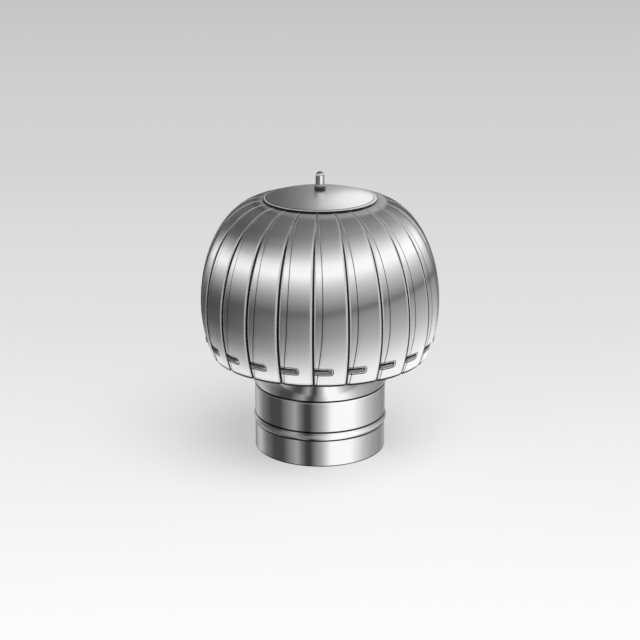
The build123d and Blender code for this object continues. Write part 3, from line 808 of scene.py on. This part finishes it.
# Geometry Nodes: a ring of copies round the axis, each with its own tone
def ringOf(name, material):
    group = bpy.data.node_groups.new(name, "GeometryNodeTree")
    sockets = {}
    face = group.interface
    face.new_socket("Geometry", in_out="INPUT", socket_type="NodeSocketGeometry")
    kinds = {"Count": "NodeSocketInt", "First turn": "NodeSocketFloat", "Seed": "NodeSocketInt"}
    for title, kind in kinds.items():
        sockets[title] = face.new_socket(title, in_out="INPUT", socket_type=kind).identifier
    face.new_socket("Geometry", in_out="OUTPUT", socket_type="NodeSocketGeometry")
    tree = Tree(group)
    blade = tree.add("NodeGroupInput")
    source = blade.socket.node
    count, first, seed = (Wire(tree, source.outputs[title]) for title in ("Count", "First turn", "Seed"))
    points = tree.add("GeometryNodePoints", None, count)
    number = tree.add("GeometryNodeInputIndex")
    turn = first + number * (2 * pi) / count
    swing = tree.add("ShaderNodeCombineXYZ", None, Z=turn)
    spin = tree.add("FunctionNodeEulerToRotation", None, swing)
    ring = tree.add("GeometryNodeInstanceOnPoints", None, Points=points, Instance=blade, Rotation=spin)
    tone = tree.add("FunctionNodeRandomValue", {"data_type": "FLOAT"}, out=1, Seed=seed)
    toned = tree.add("GeometryNodeStoreNamedAttribute", {"data_type": "FLOAT", "domain": "INSTANCE"})
    tree.feed(toned.socket.node.inputs["Geometry"], ring)
    tree.feed(toned.socket.node.inputs["Name"], "vaneTone")
    tree.feed(toned.socket.node.inputs["Value"], tone)
    whole = tree.add("GeometryNodeRealizeInstances", None, toned)
    dressed = tree.add("GeometryNodeSetMaterial", None, Geometry=whole, Material=material)
    tree.add("NodeGroupOutput", None, dressed)
    return group, sockets


def makeVanes():
    piece = newPiece("vanes", makeBlade())
    print("blade made,", len(piece.data.polygons), "faces")
    group, sockets = ringOf("vaneRing", vaneSteel)
    ring = piece.modifiers.new("ring", "NODES")
    ring.node_group = group
    ring[sockets["Count"]] = vane["count"]
    ring[sockets["First turn"]] = radians(vane["firstTurn"])
    ring[sockets["Seed"]] = vane["toneSeed"]
    mesh = evaluated(piece)
    stoodFor = [f"vane_{number + 1:02d}" for number in range(vane["count"])]
    settle(piece, mesh, stoodFor, vaneSteel, sharp=40)


makeVanes()
print("vanes made")


# floor, light and camera: tones are greys from 0 to 1, lengths in metres and angles in degrees
floorLook = {
    "side": 30.0,
    "tones": [(0.0, 0.97), (0.08, 0.88), (0.19, 0.75), (0.4, 0.645), (1.0, 0.54)],   # near to far: painted shade, the floor's colour darkening away from the object as the light falls off
    "reach": (-0.5, 4.5),
    "glow": 0.5,
}


def makeFloor():
    mesh = bpy.data.meshes.new("floor")
    side = floorLook["side"]
    corners = [(-side, -side, 0), (side, -side, 0), (side, side, 0), (-side, side, 0)]
    mesh.from_pydata(corners, [], [(0, 1, 2, 3)])
    floor = newPiece("floor", mesh)
    floor.visible_glossy = False     # the sky's lower half stands for it in the metal
    material = bpy.data.materials.new("floorPaper")
    material.use_nodes = True
    tree = Tree(material.node_tree)
    place = tree.add("ShaderNodeTexCoord", out=3)
    depth = tree.add("ShaderNodeSeparateXYZ", None, place, out=1)
    low, high = floorLook["reach"]
    # painted shade: the floor's colour darkens with distance
    share = tree.add("ShaderNodeMapRange", None, depth, From_Min=low, From_Max=high)
    tone = tree.add("ShaderNodeValToRGB", {"stops": floorLook["tones"]}, share)
    paper = tree.add("ShaderNodeBsdfDiffuse", None, Color=tone)
    lit = tree.add("ShaderNodeEmission", None, Color=tone)     # its own light, for the camera alone
    camera = tree.add("ShaderNodeLightPath", out=0)
    mixed = tree.add("ShaderNodeMixShader", None, camera * floorLook["glow"], paper, lit)
    tree.add("ShaderNodeOutputMaterial", None, mixed)
    mesh.materials.append(material)


def spread(stops, low, high):        # stops' places made shares of the ramp
    return [((place - low) / (high - low), tone) for place, tone in stops]


# the lists of tones are (place, tone)
skyLook = {
    "front": 18.3,             # degrees up, the side that the light bands are hung for
    "bandSpan": (-30.0, 90.0),      # surface tilt that the two band ramps run over
    "leftBands": [
        (-30, 0.85), (-20, 0.8), (-14, 0.45), (-7, 0.2), (0, 0.09), (6, 0.07), (10, 0.1), (14, 0.25),
        (18, 0.5), (23, 0.95), (27, 0.8), (32, 0.35), (38, 0.12), (46, 0.09), (60, 0.12), (90, 0.12),
    ],
    "rightBands": [
        (-30, 0.97), (-20, 0.92), (-14, 0.78), (-7, 0.56), (0, 0.38), (6, 0.27), (8, 0.12), (9.5, 0.26),
        (14, 0.44), (18, 0.64), (23, 1.0), (28, 1.0), (33, 0.74), (38, 0.5), (46, 0.3), (60, 0.2),
        (90, 0.2),
    ],
    "sideTurn": (-65.0, 40.0),      # surface turn from the left look to the right one
    "slant": 0.09,             # how far the bands climb to the right, degrees for a degree of turn
    "topTilt": (70.0, 76.0),        # surface tilt from the bands to the top's own tones
    "topReach": 0.35,          # the top's tones run across from minus this to this
    "topTones": [(-0.34, 0.03), (-0.21, 0.09), (-0.15, 0.18), (0.0, 0.26), (0.15, 0.32), (0.31, 0.45)],
    "flagTurn": (74.0, 86.0),       # dark flags behind the object draw its outline
    "flagTone": 0.12,
    "backdropTone": 0.56,      # what the camera sees
    "strength": 1.12,
}


def makeWorld():
    world = bpy.data.worlds.new("studioSky")
    scene.world = world
    world.use_nodes = True
    tree = Tree(world.node_tree)
    direction = tree.add("ShaderNodeTexCoord", out=0)
    tilt = radians(skyLook["front"])
    front = (0, -cos(tilt), sin(tilt))
    halfway = tree.add("ShaderNodeVectorMath", {"operation": "ADD"}, direction, front)
    normal = tree.add("ShaderNodeVectorMath", {"operation": "NORMALIZE"}, halfway)
    split = tree.add("ShaderNodeSeparateXYZ", None, normal)
    across, depth, up = (Wire(tree, split.socket.node.outputs[index]) for index in range(3))
    low, high = skyLook["bandSpan"]
    turn = across.math("ARCTAN2", across, 0 - depth) * (180 / pi)
    slant = turn.math("MAXIMUM", turn, 0.0) * skyLook["slant"]
    rise = (up.math("ARCSINE", up) * (180 / pi) - slant - low) / (high - low)
    left, right = (
        tree.add("ShaderNodeValToRGB", {"stops": spread(skyLook[side], low, high)}, rise)
        for side in ("leftBands", "rightBands")
    )
    first, last = skyLook["sideTurn"]
    smooth = {"interpolation_type": "SMOOTHSTEP"}
    side = tree.add("ShaderNodeMapRange", smooth, turn, From_Min=first, From_Max=last)
    seen = tree.mix(side, left, right)
    low, high = skyLook["flagTurn"]
    away = turn.math("ABSOLUTE", turn)
    flag = tree.add("ShaderNodeMapRange", None, away, From_Min=low, From_Max=high)
    seen = tree.mix(flag, seen, (skyLook["flagTone"],) * 3)
    low, high = (sin(radians(tilt)) for tilt in skyLook["topTilt"])
    over = tree.add("ShaderNodeMapRange", smooth, up, From_Min=low, From_Max=high)
    reach = skyLook["topReach"]
    topStops = spread(skyLook["topTones"], -reach, reach)
    topTone = tree.add("ShaderNodeValToRGB", {"stops": topStops}, across / (2 * reach) + 0.5)
    seen = tree.mix(over, seen, topTone)
    camera = tree.add("ShaderNodeLightPath", out=0)
    seen = tree.mix(camera, seen, (skyLook["backdropTone"],) * 3)
    sky = tree.add("ShaderNodeBackground", None, Color=seen, Strength=skyLook["strength"])
    tree.add("ShaderNodeOutputWorld", None, sky)


# a card round the neck that only reflections see: its wall gives the neck upright stripes, and the disc
# at its foot gives them to the flare
cardLook = {
    "radius": 0.1,
    "reach": (-0.035, 0.112),       # from below the floor to under the head
    "disc": (0.05, 0.16),
    "steps": 180,
    "tones": [                 # round the front, left to right
        (-140, 0.5), (-116, 0.18), (-93, 0.06), (-72, 0.06), (-57, 0.21), (-43, 0.36), (-34, 0.17),
        (-25, 0.05), (-17, 0.05), (-5, 0.27), (2, 0.38), (9, 0.58), (19, 0.95), (26, 1.0), (58, 1.0),
        (71, 0.8), (89, 0.52), (111, 0.36), (143, 0.25),
    ],
    "backTones": [(118, 0.4), (130, 0.9), (143, 0.9), (153, 0.35), (162, 0.1), (172, 0.1), (180, 0.4)],
    "backTonesLeft": [(-180, 0.4), (-168, 0.95), (-156, 0.95), (-142, 0.4), (-128, 0.2)],
}


def makeCard():
    radius = cardLook["radius"]
    low, high = cardLook["reach"]
    discInner, discOuter = cardLook["disc"]
    profile = [(discInner, low), (discOuter, low), (radius, low), (radius, high)]
    around = cardLook["steps"]
    places = []
    faces = []
    for step in range(around):
        turn = 2 * pi * step / around
        places += [(reach * cos(turn), reach * sin(turn), height) for reach, height in profile]
        here, there = step * 4, (step + 1) % around * 4
        faces += [(here + side, there + side, there + side + 1, here + side + 1) for side in (0, 2)]
    mesh = bpy.data.meshes.new("neckCard")
    mesh.from_pydata(places, [], faces)
    card = newPiece("neckCard", mesh)
    card.visible_camera = card.visible_diffuse = False
    card.visible_shadow = card.visible_transmission = False
    material = bpy.data.materials.new("cardTones")
    material.use_nodes = True
    tree = Tree(material.node_tree)
    place = tree.add("ShaderNodeTexCoord", out=3)
    split = tree.add("ShaderNodeSeparateXYZ", None, place)
    across, depth, height = (Wire(tree, split.socket.node.outputs[index]) for index in range(3))
    turn = across.math("ARCTAN2", across, 0 - depth) * (180 / pi)
    wall = []                  # tones go where rays from the neck meet the wall, and the flare's the disc
    disc = []
    for way, tone in cardLook["tones"]:
        meet = asin(neck["radius"] / radius * sin(radians(way) / 2))
        wall.append((way - degrees(meet), tone))
        disc.append((way / 2, tone))
    wall, disc = (
        tree.add(
            "ShaderNodeValToRGB",
            {"stops": spread(cardLook["backTonesLeft"] + stops + cardLook["backTones"], -180, 180)},
            turn / 360 + 0.5,
        )
        for stops in (wall, disc)
    )
    tone = tree.mix(height.math("GREATER_THAN", height, low + mm), disc, wall)
    glow = tree.add("ShaderNodeEmission", None, Color=tone, Strength=skyLook["strength"])
    tree.add("ShaderNodeOutputMaterial", None, glow)
    mesh.materials.append(material)


sunLook = {
    "strength": 1.9,
    "tilt": (14, 10),
    "width": 50,               # wide, for a soft shadow
}
# each lights one piece: node aimed at, piece lit, azimuth from the back, lift, distance, size, brightness
softboxes = {
    "domeBox": ("dome", "domeCap", 42, 18, 2.0, (2.8, 3.2), 0.72),
    "pinBox": ("dome_collar", "spindle", 144, -14, 0.5, (0.5, 0.4), 1.2),
}


def makeLamps():
    lamp = bpy.data.lights.new("overhead", "SUN")
    lamp.energy = sunLook["strength"]
    lamp.angle = radians(sunLook["width"])
    overhead = bpy.data.objects.new("overhead", lamp)
    overhead.rotation_euler = [radians(tilt) for tilt in sunLook["tilt"]] + [0]
    overhead.visible_glossy = False
    scene.collection.objects.link(overhead)
    for name, (node, piece, azimuth, lift, distance, size, brightness) in softboxes.items():
        lamp = bpy.data.lights.new(name, "AREA")
        lamp.shape = "RECTANGLE"
        lamp.size, lamp.size_y = size
        lamp.energy = brightness * pi * size[0] * size[1]
        softbox = bpy.data.objects.new(name, lamp)
        low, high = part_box(node)
        middle = (Vector(low) + Vector(high)) / 2
        away = Vector((sin(radians(azimuth)), cos(radians(azimuth)), 0)) * cos(radians(lift))
        away.z = sin(radians(lift))
        softbox.location = middle + away * distance
        softbox.rotation_euler = away.to_track_quat("Z", "Y").to_euler()
        softbox.visible_camera = False
        lit = bpy.data.collections.new(name)
        lit.objects.link(bpy.data.objects[piece])
        softbox.light_linking.receiver_collection = lit
        scene.collection.objects.link(softbox)


view = {
    "aim": (0.0, 0.0, 0.149),
    "distance": 1.8,
    "tilt": 18.3,              # degrees down
    "lens": 88.8,
    "sensor": 36,
    "nearest": 0.01,
}


def makeCamera():
    lens = bpy.data.cameras.new("camera")
    lens.lens = view["lens"]
    lens.sensor_width = view["sensor"]
    lens.clip_start = view["nearest"]
    camera = bpy.data.objects.new("camera", lens)
    tilt = radians(view["tilt"])
    back = Vector((0, -cos(tilt), sin(tilt))) * view["distance"]
    camera.location = Vector(view["aim"]) + back
    camera.rotation_euler = (pi / 2 - tilt, 0, 0)
    scene.collection.objects.link(camera)
    scene.camera = camera
    scene.view_settings.view_transform = "Standard"


makeFloor()
makeWorld()
makeCard()
makeLamps()
makeCamera()
print("studio made")
